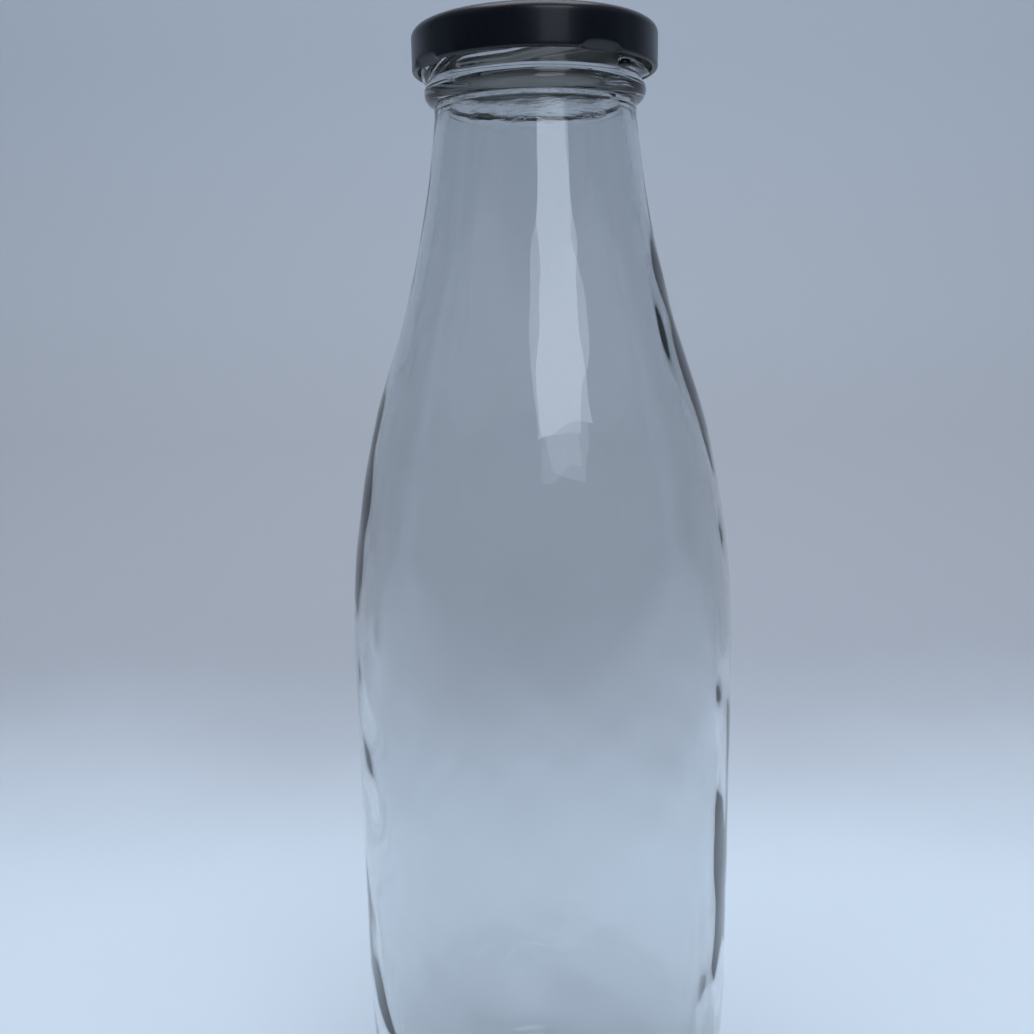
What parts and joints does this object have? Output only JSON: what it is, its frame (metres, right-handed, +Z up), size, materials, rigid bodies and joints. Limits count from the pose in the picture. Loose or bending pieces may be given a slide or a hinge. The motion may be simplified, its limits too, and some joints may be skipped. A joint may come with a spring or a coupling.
{
  "type": "glass milk bottle",
  "caption": "Tall round clear-glass milk bottle with a sloping shoulder, slim neck and beaded lug finish, closed by a flat gloss-black twist-off steel cap with a sealing ring.",
  "frame": {"origin": "centre of the base plane, which the bottle stands on", "axes": "+Z up through the mouth, -Y towards the front, +X to the right seen from the front"},
  "size_m": [0.0866, 0.0866, 0.2705],
  "materials": {
    "bottle_glass": "clear flint glass, smooth and slightly wavy",
    "cap_lacquer": "gloss black lacquer on tinplate",
    "liner_compound": "pale soft sealing compound, satin"
  },
  "bodies": {
    "bottle": {"glass_bottle": "bottle_glass"},
    "liner": {"cap_liner": "liner_compound"},
    "cap": {"cap_shell": "cap_lacquer"}
  },
  "joints": [
    {"name": "cap_rise", "type": "slide", "parent": "bottle", "child": "liner", "axis": [0, 0, 1], "range_m": [0, 0.015]},
    {"name": "cap_twist", "type": "hinge", "parent": "liner", "child": "cap", "pos_m": [0, 0, 0.2663], "axis": [0, 0, 1], "range_deg": [0, 180]}
  ],
  "couplings": [
    {"joint": "cap_rise", "follows": "cap_twist", "m_per_rad": 0.0047746}
  ]
}
